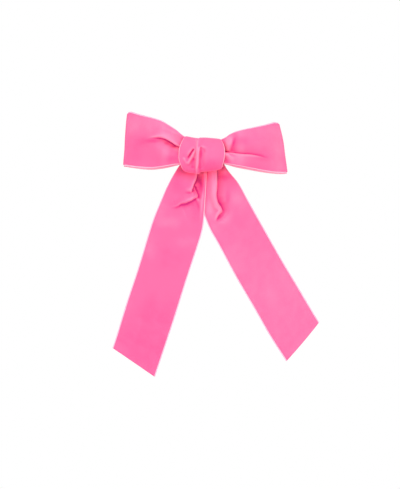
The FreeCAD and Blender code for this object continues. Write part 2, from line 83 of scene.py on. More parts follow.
class BowSettings(bpy.types.PropertyGroup):
    """Sizes and colours of the ribbon, in the units of the real one."""

    ribbon_width: bpy.props.FloatProperty(
        name="Ribbon width", description="From selvedge to selvedge", default=0.038, unit="LENGTH"
    )
    pile_height: bpy.props.FloatProperty(
        name="Pile height", description="Of the velvet above its ground weave", default=0.0007, unit="LENGTH"
    )
    ground_thickness: bpy.props.FloatProperty(
        name="Ground thickness", description="Of the woven ground", default=0.0004, unit="LENGTH"
    )
    selvedge_width: bpy.props.FloatProperty(
        name="Selvedge width", description="Of the bare woven edge", default=0.0009, unit="LENGTH"
    )
    velvet_colour: bpy.props.StringProperty(
        name="Velvet", description="sRGB hex of the pile seen square on", default="FF5F8F"
    )
    # painted highlight: the pile's colour mixed in over ridges
    crest_colour: bpy.props.StringProperty(
        name="Velvet on ridges", description="sRGB hex of the pile where it opens", default="FF7FA3"
    )
    # painted shade: the pile's colour mixed in down in folds and hollows
    shade_colour: bpy.props.StringProperty(
        name="Velvet in folds", description="sRGB hex of the pile looked into", default="C42C74"
    )
    selvedge_colour: bpy.props.StringProperty(
        name="Selvedge", description="sRGB hex of the woven edge", default="FFADC6"
    )
    back_colour: bpy.props.StringProperty(
        name="Ribbon back", description="sRGB hex of the woven back", default="F57AAE"
    )
    thread_colour: bpy.props.StringProperty(
        name="Thread", description="sRGB hex of the sewing thread", default="E8679B"
    )


class StageSettings(bpy.types.PropertyGroup):
    """The camera and the light."""

    lens: bpy.props.FloatProperty(name="Lens", description="Focal length in millimetres", default=135.0)
    view_height: bpy.props.FloatProperty(
        name="View height", description="Height of the view at the tails", default=0.3831, unit="LENGTH"
    )
    floor_z: bpy.props.FloatProperty(
        name="Floor", description="Height of the floor", default=-0.5, unit="LENGTH"
    )


# ---------------------------------------------------------------- shapes


def spline(points, at):
    """Points on a smooth curve through the given ones, at parameters that equal their indexes.

    Between two given points it is the cubic whose end slopes are half the step between each end's
    neighbours.
    """
    p = np.asarray(points, float)
    slope = np.gradient(p, axis=0)
    at = np.clip(np.asarray(at, float), 0, len(p) - 1)
    i = np.minimum(at.astype(int), len(p) - 2)
    f = (at - i)[..., None]
    a, b, c, d = p[i], p[i + 1], slope[i], slope[i + 1]
    cubic = 2 * f**3 - 3 * f**2
    return (cubic + 1) * a - cubic * b + (f**3 - 2 * f**2 + f) * c + (f**3 - f**2) * d


def edge_height(points, x):
    """The height of an outline above each x, where the outline is a smooth curve with rising x."""
    line = spline(points, np.linspace(0, len(points) - 1, 400))
    return np.interp(x, line[:, 0], line[:, 1])


def smooth(low, high, value):
    """0 below low and 1 above high, with a gentle slope between."""
    t = np.clip((value - low) / (high - low), 0, 1)
    return t * t * (3 - 2 * t)


def beside(xyz, path, steps, fade):
    """Where cloth lies beside a line drawn on it, which is cut into that many steps.

    Gives the line's direction at its nearest point, the distance to the line's left, the distance
    either way, and a strength that fades in and out over a share of the line's length at each end.
    """
    line = spline(path, np.linspace(0, len(path) - 1, steps))
    x, z = xyz[..., 0], xyz[..., 2]
    at = ((x[..., None] - line[:, 0]) ** 2 + (z[..., None] - line[:, 1]) ** 2).argmin(-1)
    step = np.gradient(line, axis=0)
    step /= np.linalg.norm(step, axis=1)[:, None]
    off_x, off_z = x - line[at, 0], z - line[at, 1]
    side = step[at, 0] * off_z - step[at, 1] * off_x
    share = at / (len(line) - 1)
    fade_in, fade_out = (max(length, SHORTEST_FADE) for length in fade)
    strength = smooth(0, fade_in, share) * smooth(0, fade_out, 1 - share)
    return step[at], side, np.sqrt(off_x**2 + off_z**2), strength


def push(xyz, path, out, left, right, fade=(0.25, 0.25)):
    """Moves cloth towards the viewer along a line drawn on it.

    The height is out times a bell curve of the distance from the line, whose width is left on the
    line's left side and right on its other side. A negative out presses a valley in.
    """
    _, side, far, strength = beside(xyz, path, 120, fade)
    spread = right + (left - right) * smooth(-0.35, 0.35, side)
    moved = xyz.copy()
    moved[..., 1] -= out * (strength * np.exp(-((far / spread) ** 2)))
    return moved


def tuck(xyz, path, lip, sunk, above, below, roll=0.0, fade=(0.05, 0.5), sharp=0.55):
    """Folds cloth over itself along a line: a raised lip on the line's left, a hollow on its right.

    The hollow is deepest at the line. Beyond it the height steps up to the lip over the distance
    sharp, and the lip's cloth rolls back over the hollow by roll. The lip dies away as a bell curve
    over the distance above, and the hollow over the distance below.
    """
    step, side, far, strength = beside(xyz, path, 160, fade)
    step_at = roll + 0.8 * sharp
    rise = smooth(step_at - sharp, step_at + sharp, side)
    beyond = np.maximum(far - step_at, 0)
    raised = lip * rise * np.exp(-((beyond / above) ** 2))
    height = raised - sunk * (1 - rise) * np.exp(-((far / below) ** 2))
    over = roll * rise * np.exp(-((beyond / (0.6 * above)) ** 2))
    moved = xyz.copy()
    moved[..., 0] += step[..., 1] * over * strength
    moved[..., 2] -= step[..., 0] * over * strength
    moved[..., 1] -= height * strength
    return moved


def swell(xyz, middle, size, out):
    """Moves cloth towards the viewer in a soft round hill, or away in a hollow."""
    off_x, off_z = (xyz[..., 0] - middle[0]) / size[0], (xyz[..., 2] - middle[1]) / size[1]
    moved = xyz.copy()
    moved[..., 1] -= out * np.exp(-(off_x**2) - off_z**2)
    return moved


def folded(surface, folds):
    """A surface with each fold worked into it in turn, given as (function, settings)."""
    for work, settings in folds:
        surface = work(surface, **settings)
    return surface


def ripples(along, over, seed, size, height):
    """A soft uneven swell: the sum of a few waves of about that size in chance directions."""
    chance = np.random.default_rng(seed)
    total = np.zeros(np.broadcast(along, over).shape)
    for _ in range(7):
        angle, phase = chance.uniform(0, math.tau, 2)
        length = size * chance.uniform(0.7, 1.6)
        total += np.sin((along * math.cos(angle) + over * math.sin(angle)) * math.tau / length + phase)
    return total * height / 3


def blurred(values, rounds, closed):
    """Values averaged with their neighbours on the grid, that many times."""
    v = values.copy()
    for _ in range(rounds):
        rows = np.roll(v, 1, 0) + np.roll(v, -1, 0)
        if not closed:
            rows[0], rows[-1] = v[0] + v[1], v[-1] + v[-2]
        v = 0.5 * v + 0.25 * rows
        pad = np.concatenate([v[:, :1], v, v[:, -1:]], 1)
        v = 0.5 * v + 0.25 * (pad[:, :-2] + pad[:, 2:])
    return v


def grid_normals(xyz, closed):
    """Unit normals of a grid: across its columns times along its rows."""
    if closed:
        along = np.roll(xyz, -1, 0) - np.roll(xyz, 1, 0)
    else:
        along = np.gradient(xyz, axis=0)
    over = np.gradient(xyz, axis=1)
    n = np.cross(over, along)
    return n / np.maximum(np.linalg.norm(n, axis=-1, keepdims=True), 1e-9)


def row_distances(xyz):
    """Each row's mean distance along the ribbon from the first row, in the grid's units."""
    along = np.linalg.norm(np.diff(xyz, axis=0), axis=-1).mean(1)
    return np.concatenate([[0], np.cumsum(along)])


def quads(rows, columns, start, closed, flip):
    """Faces of a grid whose points are numbered row by row from start."""
    i = np.arange(rows if closed else rows - 1)[:, None]
    j = np.arange(columns - 1)[None]
    a, b = i * columns + j, ((i + 1) % rows) * columns + j
    ring = [a, b, b + 1, a + 1] if flip else [a, a + 1, b + 1, b]
    return np.stack(ring, -1).reshape(-1, 4) + start


def strips(near, far, closed, flip):
    """Faces between two equal rows of point numbers."""
    if closed:
        near, far = np.append(near, near[0]), np.append(far, far[0])
    a, b, c, d = near[:-1], near[1:], far[1:], far[:-1]
    ring = [a, d, c, b] if flip else [a, b, c, d]
    return np.stack(ring, -1)


def ribbon_piece(name, surface, closed, materials, patches=(), painted_fold_weight=1.0):
    """A closed piece of ribbon whose pile tips rest on the given surface, in millimetres.

    The outer skin is the surface, let down by the pile's height along both selvedges. The inner skin
    is the surface moved in along its smoothed normal by the ribbon's whole thickness. Two values are
    kept at each point for the velvet's painted light: how deep it lies in a fold, times the given
    weight, which the velvet paints as shade in hollows and as a highlight on ridges; and the sum of
    patches of (x, z, reach in x, reach in z, amount) on the cloth that faces the viewer, which paint it
    darker or paler, partly for how the pile lies and partly as painted shade and highlight.
    """
    bow = bpy.context.scene.bow
    rows, columns = surface.shape[:2]
    width = bow.ribbon_width / MM
    across = np.linspace(0, width, columns)
    edge = np.minimum(across, width - across)
    bare = bow.selvedge_width / MM
    pile = bow.pile_height / MM
    sink = pile * (1 - smooth(bare - 0.1, bare + 0.5, edge))
    normals = grid_normals(blurred(surface, 6, closed), closed)
    outer = surface - normals * sink[None, :, None]
    inner = surface - normals * (pile + bow.ground_thickness / MM)
    count = rows * columns
    vertices = np.concatenate([outer.reshape(-1, 3), inner.reshape(-1, 3)]) * MM
    number = np.arange(count).reshape(rows, columns)
    faces = [
        quads(rows, columns, 0, closed, False),
        quads(rows, columns, count, closed, True),
        strips(number[:, 0], number[:, 0] + count, closed, True),
        strips(number[:, -1], number[:, -1] + count, closed, False),
    ]
    if not closed:
        faces.append(strips(number[0], number[0] + count, False, False))
        faces.append(strips(number[-1], number[-1] + count, False, True))
    inside = np.concatenate([np.full(len(f), part) for part, f in zip((0, 1, 2, 2, 3, 3), faces)])
    faces = np.concatenate(faces)
    mesh = bpy.data.meshes.new(name)
    mesh.vertices.add(len(vertices))
    mesh.vertices.foreach_set("co", vertices.astype(np.float32).ravel())
    mesh.loops.add(faces.size)
    mesh.loops.foreach_set("vertex_index", faces.ravel().astype(np.int32))
    mesh.polygons.add(len(faces))
    mesh.polygons.foreach_set("loop_start", np.arange(0, faces.size, 4, dtype=np.int32))
    mesh.polygons.foreach_set("loop_total", np.full(len(faces), 4, np.int32))
    mesh.update(calc_edges=True)
    mesh.validate()
    for material in materials:
        mesh.materials.append(material)
    mesh.polygons.foreach_set("material_index", (inside == 1).astype(np.int32))
    mesh.polygons.foreach_set("use_smooth", np.ones(len(faces), bool))
    length = row_distances(surface)
    place = np.stack(np.broadcast_arrays(across[None], length[:, None]), -1).reshape(-1, 2) * MM
    place = np.concatenate([place, place])
    layer = mesh.uv_layers.new(name="ribbon")
    layer.data.foreach_set("uv", place[faces.ravel()].astype(np.float32).ravel())
    # how deep each point lies in a hollow, at two sizes, for the velvet to paint as shade in hollows and as a
    # highlight on ridges
    broad, fine = (
        ((blurred(surface, rounds, closed) - surface) * normals).sum(-1)
        for rounds in (BROAD_ROUNDS, FINE_ROUNDS)
    )
    hollow = (broad + 1.5 * fine) * painted_fold_weight
    # painted patches, partly how the pile lies and partly painted shade and highlight, kept only on cloth that
    # faces the viewer
    nap_and_painted_light = np.zeros((rows, columns))
    for x, z, reach_x, reach_z, amount in patches:
        off_x, off_z = (surface[..., 0] - x) / reach_x, (surface[..., 2] - z) / reach_z
        nap_and_painted_light += amount * np.exp(-(off_x**2) - off_z**2)
    nap_and_painted_light *= smooth(-0.3, 0.1, -normals[..., 1])
    for kept, values in (("hollow", (hollow, -hollow)), ("nap_and_painted_light", (nap_and_painted_light, nap_and_painted_light))):
        values = np.concatenate([part.ravel() for part in values]).astype(np.float32)
        mesh.attributes.new(kept, "FLOAT", "POINT").data.foreach_set("value", values)
    piece = bpy.data.objects.new(name, mesh)
    bpy.context.scene.collection.objects.link(piece)
    return piece


# ---------------------------------------------------------------- materials


def linear(colour):
    """A linear colour with full alpha from an sRGB hex string."""
    channels = [int(colour[i : i + 2], 16) / 255 for i in (0, 2, 4)]
    return [c / 12.92 if c <= 0.04045 else ((c + 0.055) / 1.055) ** 2.4 for c in channels] + [1.0]


def add(tree, kind, settings=None, links=None):
    """Adds a node to a tree, sets its properties and sockets, and links outputs into its sockets."""
    made = tree.nodes.new(kind)
    for name, value in (settings or {}).items():
        if isinstance(name, str) and hasattr(made, name):
            setattr(made, name, value)
        else:
            made.inputs[name].default_value = value
    for name, source in (links or {}).items():
        tree.links.new(source, made.inputs[name])
    return made


def new_material(name):
    """An empty node material and its tree."""
    material = bpy.data.materials.new(name)
    material.use_nodes = True
    material.node_tree.nodes.clear()
    return material, material.node_tree


def math_node(tree, operation, *values):
    """The output of a Math node whose inputs are numbers or other outputs."""
    settings, links = {"operation": operation}, {}
    for i, value in enumerate(values):
        (links if isinstance(value, bpy.types.NodeSocket) else settings)[i] = value
    return add(tree, "ShaderNodeMath", settings, links).outputs[0]


def blend_colours(tree, factor, first, second, blend_type="MIX"):
    """The output of a colour Mix node; each colour is an output or a linear colour."""
    made = add(tree, "ShaderNodeMix", {"data_type": "RGBA", "blend_type": blend_type})
    for index, value in ((0, factor), (6, first), (7, second)):
        if isinstance(value, bpy.types.NodeSocket):
            tree.links.new(value, made.inputs[index])
        else:
            made.inputs[index].default_value = value
    return made.outputs[2]


def selvedge_share(tree, place):
    """1 on the bare woven edges and 0 on the pile, from the place across the ribbon."""
    bow = bpy.context.scene.bow
    across = add(tree, "ShaderNodeSeparateXYZ", {}, {0: place}).outputs[0]
    from_middle = math_node(tree, "ABSOLUTE", math_node(tree, "SUBTRACT", across, bow.ribbon_width / 2))
    bare_from = bow.ribbon_width / 2 - bow.selvedge_width
    ramp = add(
        tree,
        "ShaderNodeMapRange",
        {1: bare_from - 0.0003, 2: bare_from + 0.0002, 3: 0.0, 4: 1.0},
        {0: from_middle},
    )
    return ramp.outputs[0]


def cotton_velvet():
    """Cut-pile velvet on a woven ground.

    The pile is a fur of upright fibres, whose sheen pales it where it is seen from the side. Its colour
    is painted deep and saturated in folds, as painted shade, and pale over ridges, as a painted highlight.
    Listed patches paint it lighter or darker, partly for how the pile lies and partly as painted shade
    and highlight. The selvedges have no pile and show pale weave.
    """
    bow = bpy.context.scene.bow
    material, tree = new_material("cotton_velvet")
    place = add(tree, "ShaderNodeUVMap", {"uv_map": "ribbon"}).outputs[0]
    hollow = add(tree, "ShaderNodeAttribute", {"attribute_name": "hollow"}).outputs["Fac"]
    # the patches: partly how the pile lies, partly painted shade and highlight
    nap_and_painted_light = add(tree, "ShaderNodeAttribute", {"attribute_name": "nap_and_painted_light"}).outputs["Fac"]
    brushed = add(tree, "ShaderNodeTexNoise", {"Scale": 1 / 0.009, "Detail": 3.0}, {"Vector": place})
    tufts = add(tree, "ShaderNodeTexNoise", {"Scale": 1 / 0.0008, "Detail": 2.0}, {"Vector": place})
    uneven = math_node(tree, "MULTIPLY", math_node(tree, "SUBTRACT", brushed.outputs[0], 0.5), 0.55)
    grain = math_node(tree, "MULTIPLY", math_node(tree, "SUBTRACT", tufts.outputs[0], 0.5), 0.5)
    chance = math_node(tree, "ADD", uneven, grain)

    def share(low, high):
        """How far the hollow, made uneven by chance, has gone from low to high, in millimetres."""
        ramp = add(tree, "ShaderNodeMapRange", {1: low, 2: high, 3: 0.0, 4: 1.0}, {0: hollow}).outputs[0]
        return math_node(tree, "ADD", ramp, chance)

    # painted highlight: paler over ridges and where the patches say; painted shade: deeper in folds and hollows
    # and where the patches say
    raised = math_node(tree, "SUBTRACT", share(0.0, -0.45), nap_and_painted_light)
    sunk = math_node(tree, "ADD", share(0.03, 0.6), nap_and_painted_light)
    pile = blend_colours(tree, raised, linear(bow.velvet_colour), linear(bow.crest_colour))
    pile = blend_colours(tree, sunk, pile, linear(bow.shade_colour))
    bare = selvedge_share(tree, place)
    colour = blend_colours(tree, bare, pile, linear(bow.selvedge_colour))
    fur = add(tree, "ShaderNodeTexNoise", {"Scale": 1 / 0.0004, "Detail": 2.0}, {"Vector": place})
    bump = add(tree, "ShaderNodeBump", {"Strength": 0.35, "Distance": 0.0003}, {"Height": fur.outputs[0]})
    shader = add(
        tree,
        "ShaderNodeBsdfPrincipled",
        {
            "Roughness": 0.95,
            "IOR": 1.5,
            "Specular IOR Level": 0.1,
            "Sheen Weight": 0.4,
            "Sheen Roughness": 0.4,
            "Sheen Tint": linear("FFC4DC"),
        },
        {"Base Color": colour, "Normal": bump.outputs[0]},
    )
    add(tree, "ShaderNodeOutputMaterial", {}, {"Surface": shader.outputs[0]})
    return material


def woven_back():
    """The back of the ribbon: a close plain weave of bright yarn, a little shiny along the ribbon."""
    bow = bpy.context.scene.bow
    material, tree = new_material("woven_back")
    place = add(tree, "ShaderNodeUVMap", {"uv_map": "ribbon"}).outputs[0]
    # real yarns are about 0.25 mm apart, and these are drawn about 1 mm apart so that they show
    scale = 0.5 / 0.0005 / math.pi
    across, along = (
        add(tree, "ShaderNodeTexWave", {"Scale": scale, "bands_direction": way}, {"Vector": place})
        for way in ("X", "Y")
    )
    weave = math_node(tree, "MULTIPLY", across.outputs["Fac"], along.outputs["Fac"])
    uneven = add(tree, "ShaderNodeTexNoise", {"Scale": 1 / 0.006, "Detail": 2.0}, {"Vector": place})
    from_weave = math_node(tree, "MULTIPLY", weave, 0.25)
    tone = math_node(tree, "ADD", from_weave, math_node(tree, "MULTIPLY", uneven.outputs[0], 0.3))
    ground = blend_colours(tree, tone, linear(bow.back_colour), linear(bow.selvedge_colour))
    bare = selvedge_share(tree, place)
    colour = blend_colours(tree, bare, ground, linear(bow.selvedge_colour))
    bump = add(tree, "ShaderNodeBump", {"Strength": 0.4, "Distance": 0.0001}, {"Height": weave})
    shader = add(
        tree,
        "ShaderNodeBsdfPrincipled",
        {"Roughness": 0.55, "IOR": 1.5, "Sheen Weight": 0.25, "Sheen Roughness": 0.5},
        {"Base Color": colour, "Normal": bump.outputs[0]},
    )
    add(tree, "ShaderNodeOutputMaterial", {}, {"Surface": shader.outputs[0]})
    return material


def polyester_thread():
    """Spun polyester sewing thread: matt, with a twist that shows as slanted turns of painted highlight and shade.
    """
    bow = bpy.context.scene.bow
    material, tree = new_material("polyester_thread")
    place = add(tree, "ShaderNodeTexCoord").outputs["Object"]
    twist = add(
        tree,
        "ShaderNodeTexWave",
        {"Scale": 0.5 / 0.0004 / math.pi, "bands_direction": "DIAGONAL", "Distortion": 0.6},
        {"Vector": place},
    )
    height = twist.outputs["Fac"]
    # paler on the twist's crests and darker between: painted highlight and shade
    colour = blend_colours(tree, height, linear(bow.thread_colour), linear(bow.selvedge_colour))
    bump = add(tree, "ShaderNodeBump", {"Strength": 0.6, "Distance": 0.0001}, {"Height": height})
    shader = add(
        tree,
        "ShaderNodeBsdfPrincipled",
        {"Roughness": 0.7, "IOR": 1.5, "Sheen Weight": 0.3},
        {"Base Color": colour, "Normal": bump.outputs[0]},
    )
    add(tree, "ShaderNodeOutputMaterial", {}, {"Surface": shader.outputs[0]})
    return material


def nickel_plate():
    """Stamped mild steel with bright nickel plate: a warm mirror with faint drawing lines and haze."""
    material, tree = new_material("nickel_plate")
    place = add(tree, "ShaderNodeTexCoord").outputs["Object"]
    stretched = add(tree, "ShaderNodeMapping", {"Scale": (0.06, 1.0, 1.0)}, {"Vector": place}).outputs[0]
    lines = add(tree, "ShaderNodeTexNoise", {"Scale": 1 / 0.0003, "Detail": 2.0}, {"Vector": stretched})
    haze = add(tree, "ShaderNodeTexNoise", {"Scale": 1 / 0.008, "Detail": 4.0}, {"Vector": place})
    roughness = add(tree, "ShaderNodeMapRange", {1: 0.3, 2: 0.7, 3: 0.14, 4: 0.3}, {0: haze.outputs[0]})
    colour = blend_colours(tree, haze.outputs[0], linear("C8C4BB"), linear("B6B1A7"))
    bump = add(tree, "ShaderNodeBump", {"Strength": 0.12, "Distance": 0.00005}, {"Height": lines.outputs[0]})
    shader = add(
        tree,
        "ShaderNodeBsdfPrincipled",
        {"Metallic": 1.0},
        {"Base Color": colour, "Roughness": roughness.outputs[0], "Normal": bump.outputs[0]},
    )
    add(tree, "ShaderNodeOutputMaterial", {}, {"Surface": shader.outputs[0]})
    return material


def spring_steel():
    """Rolled spring steel, thinly plated: greyer and brushed along its length."""
    material, tree = new_material("spring_steel")
    place = add(tree, "ShaderNodeTexCoord").outputs["Object"]
    stretched = add(tree, "ShaderNodeMapping", {"Scale": (0.03, 1.0, 1.0)}, {"Vector": place}).outputs[0]
    lines = add(tree, "ShaderNodeTexNoise", {"Scale": 1 / 0.0002, "Detail": 3.0}, {"Vector": stretched})
    roughness = add(tree, "ShaderNodeMapRange", {1: 0.3, 2: 0.7, 3: 0.25, 4: 0.45}, {0: lines.outputs[0]})
    colour = blend_colours(tree, lines.outputs[0], linear("A6A6A8"), linear("8F9093"))
    bump = add(tree, "ShaderNodeBump", {"Strength": 0.25, "Distance": 0.00005}, {"Height": lines.outputs[0]})
    shader = add(
        tree,
        "ShaderNodeBsdfPrincipled",
        {"Metallic": 1.0},
        {"Base Color": colour, "Roughness": roughness.outputs[0], "Normal": bump.outputs[0]},
    )
    add(tree, "ShaderNodeOutputMaterial", {}, {"Surface": shader.outputs[0]})
    return material


def backlit_acrylic():
    """The white acrylic top of a light table, which glows evenly through its matt surface."""
    material, tree = new_material("backlit_acrylic")
    grain = add(tree, "ShaderNodeTexNoise", {"Scale": 60.0, "Detail": 2.0})
    colour = blend_colours(tree, grain.outputs[0], linear("F6F5F4"), linear("F1F0EF"))
    shader = add(
        tree,
        "ShaderNodeBsdfPrincipled",
        {"Roughness": 0.8, "Emission Color": (1, 1, 1, 1), "Emission Strength": 0.3},
        {"Base Color": colour},
    )
    add(tree, "ShaderNodeOutputMaterial", {}, {"Surface": shader.outputs[0]})
    return material


def finish_of(name, make):
    """A material by name, made the first time that it is asked for."""
    return bpy.data.materials.get(name) or make()


def ribbon_finishes():
    """The pile side's material and the back's."""
    return [finish_of("cotton_velvet", cotton_velvet), finish_of("woven_back", woven_back)]


# ---------------------------------------------------------------- loops

LOOP_TOP = (
    (-60.2, 36.0), (-57.6, 34.7), (-50.0, 32.1), (-41.0, 29.6), (-32.6, 26.9), (-27.0, 23.7),
    (-20.6, 19.5), (-15.4, 15.0), (-8.0, 10.8), (0.0, 9.4), (8.0, 9.8), (16.5, 13.2),
    (21.0, 16.3), (28.0, 19.0), (38.0, 21.4), (48.0, 23.7), (57.0, 26.2), (61.0, 27.0),
)
LOOP_BOTTOM = (
    (-64.0, -7.9), (-61.6, -8.4), (-52.0, -9.9), (-41.0, -10.8), (-31.0, -9.9), (-20.4, -8.0),
    (-12.0, -7.4), (0.0, -7.4), (12.0, -7.0), (17.0, -7.2), (26.0, -9.1), (37.0, -11.1),
    (50.0, -13.3), (60.0, -14.2), (66.5, -14.0),
)
LEFT_FOLD = ((-62.0, -8.4), (-60.8, 8.0), (-59.6, 22.0), (-57.7, 33.8))
RIGHT_FOLD = ((66.6, -14.2), (63.8, 0.0), (60.6, 14.0), (57.0, 25.6))
LOOP_FRONT = (
    (-63.0, -9.6), (-59.0, -11.6), (-50.0, -16.0), (-40.0, -20.6), (-31.0, -23.6), (-24.0, -23.8),
    (-17.0, -21.9), (-8.0, -21.2), (0.0, -21.2), (8.0, -21.2), (17.0, -21.8), (24.0, -23.6),
    (31.0, -23.6), (42.0, -20.2), (53.0, -16.0), (62.0, -11.6), (66.0, -9.6),
)
LOOP_BACK = (
    (-63.0, -7.4), (-55.0, -6.6), (-42.0, -6.5), (-30.0, -7.6), (-23.5, -9.3), (-20.6, -12.4),
    (-18.0, -15.6), (-10.0, -16.4), (0.0, -16.4), (10.0, -16.4), (18.0, -15.6), (20.6, -12.4),
    (23.5, -9.3), (30.0, -7.6), (42.0, -6.5), (55.0, -6.6), (66.0, -7.4),
)
# gathers that run out from the knot: first the left loop's, then the right loop's
LOOP_FOLDS = (
    (swell, dict(middle=(-24, -1.5), size=(13, 6.5), out=1.5)),
    (swell, dict(middle=(-48, 4), size=(12, 9), out=-1.3)),
    (tuck, dict(
        path=[
            (-45.5, 10.6), (-38.0, 12.0), (-33.0, 12.1), (-29.0, 11.0), (-25.6, 9.1), (-22.0, 6.8),
            (-18.7, 5.0), (-14, 3.0),
        ],
        lip=2.4, sunk=2.6, above=4.2, below=6.0, roll=0.8, fade=(0.5, 0.3),
    )),
    (tuck, dict(
        path=[(-36, 20.0), (-27, 17.0), (-20, 13.5), (-14, 11.0)],
        lip=0.6, sunk=0.4, above=4.0, below=3.5, fade=(0.8, 0.02), sharp=1.6,
    )),
    (swell, dict(middle=(36, -5), size=(17, 5), out=1.1)),
    (swell, dict(middle=(19.5, 8), size=(3, 5), out=1.2)),
    (swell, dict(middle=(44, 10), size=(14, 7), out=0.9)),
    (tuck, dict(
        path=[
            (53, -2.2), (49, -1.7), (44.6, -0.5), (38, 0.5), (31.6, 0.8), (26, 1.3), (22.5, 1.9),
            (14, 2.1),
        ],
        lip=1.4, sunk=1.9, above=4.4, below=4.6, roll=0.5, fade=(0.75, 0.02),
    )),
    (tuck, dict(
        path=[(22.0, 2.0), (22.4, 4.8), (23.8, 8.2), (25.4, 12.2), (27.0, 17.0)],
        lip=1.6, sunk=0.5, above=3.6, below=4.5, roll=0.3, fade=(0.1, 0.6), sharp=2.2,
    )),
    (push, dict(
        path=[(15.5, 0.4), (18.5, -0.4), (21.0, -1.8), (25, -4.2)],
        out=1.8, left=1.3, right=1.9, fade=(0.05, 0.6),
    )),
)


def edge_x(points, up):
    """The x of a fold line at each share of its height."""
    line = spline(points, np.linspace(0, len(points) - 1, 60))
    share = (line[:, 1] - line[0, 1]) / (line[-1, 1] - line[0, 1])
    return np.interp(up, share, line[:, 0])


def loop_surface():
    """Both loops as one ring of ribbon, and for each row how strongly its folds' painted shade and highlight show
    in the pile.

    Seen from above, the ring goes along the front from the left fold to the right one, round, and
    back behind. Its height runs evenly from the lower outline to the upper one. Its front bellies out
    at half height. The two layers run together at each fold in a half turn.
    """
    columns, front_rows, back_rows, turn_rows = 131, 250, 60, 10
    up = np.linspace(1, 0, columns)
    left, right = edge_x(LEFT_FOLD, up) + 1.2, edge_x(RIGHT_FOLD, up) - 1.2

    def layer(depth, rows, drop_low, drop_top):
        x = left + (right - left) * np.linspace(0, 1, rows)[:, None]
        low = edge_height(LOOP_BOTTOM, x) - drop_low * smooth(8, 26, np.abs(x))
        top = edge_height(LOOP_TOP, x) - drop_top
        return np.stack([x, edge_height(depth, x), low + (top - low) * up], -1)

    front = layer(LOOP_FRONT, front_rows, 0.0, 0.0)
    along = np.linspace(0, 1, front_rows)[:, None]
    belly = BELLY * (1 - (2 * up - 1) ** 2) * np.sin(math.pi * along) ** 0.5
    front[..., 1] -= belly * smooth(17, 32, np.abs(front[..., 0]))
    front = blurred(folded(front, LOOP_FOLDS), 2, False)
    front[..., 1] += ripples(front[..., 0], front[..., 2], seed=3, size=26.0, height=0.3)
    back = layer(LOOP_BACK, back_rows, 0.5, 0.7)
    back[..., 1] += ripples(back[..., 0], back[..., 2], seed=5, size=30.0, height=0.35)

    def turn(from_row, to_row, way):
        """The half turn that joins two layers: half an oval whose ends are the given rows."""
        middle, half = (from_row + to_row) / 2, (to_row - from_row) / 2
        angle = np.linspace(0, math.pi, turn_rows + 2)[1:-1][:, None, None]
        bulge = np.abs(half[:, 1:2]) * np.array([way, 0.0, 0.0])
        return middle - half * np.cos(angle) + bulge * np.sin(angle)

    right_turn, left_turn = turn(front[-1], back[-1], 1.0), turn(back[0], front[0], -1.0)
    ring = np.concatenate([front, right_turn, back[::-1], left_turn])
    # painted fold shade and highlight: faded out towards the end folds and damped on the layer behind
    at = np.arange(len(ring))[:, None]
    to_left = np.minimum(at, len(ring) - at) - turn_rows
    to_right = np.abs(at - front_rows - turn_rows / 2) - turn_rows / 2
    behind = smooth(0, 8, at - front_rows) * smooth(0, 8, len(ring) - at)
    return ring, smooth(0, 16, np.minimum(to_left, to_right)) * (1 - 0.85 * behind)


# ---------------------------------------------------------------- knot

KNOT_TOP = (
    (-20.0, 14.8), (-14.1, 14.6), (-7.6, 13.4), (-3.0, 12.9), (2.0, 12.9), (8.1, 12.4), (14.6, 11.7),
    (20.0, 11.2),
)
KNOT_BOTTOM = (
    (-20.0, -12.0), (-15.6, -13.0), (-9.6, -14.3), (-4.0, -14.7), (-1.0, -13.0), (6.8, -12.4),
    (14.0, -11.0), (20.0, -9.6),
)
UNDER_LEFT = (
    (-14.1, 15.0), (-16.1, 9.8), (-17.9, 5.6), (-19.0, 1.3), (-19.2, -3.3), (-18.4, -7.2),
    (-15.6, -14.0),
)
UNDER_RIGHT = ((3.0, 14.5), (3.0, 0.0), (3.0, -14.5))
OVER_LEFT = ((-2.4, 14.2), (-4.8, 9.8), (-5.5, 3.9), (-5.6, -2.6), (-5.9, -9.1), (-5.2, -14.6))
OVER_RIGHT = ((14.6, 13.0), (16.2, 8.5), (17.1, 3.9), (17.2, -1.3), (16.6, -5.4), (15.4, -11.4))
KNOT_DEPTH = (-18.4, 8.7, 4.2)  # y of the middle, and how far it goes forward and back


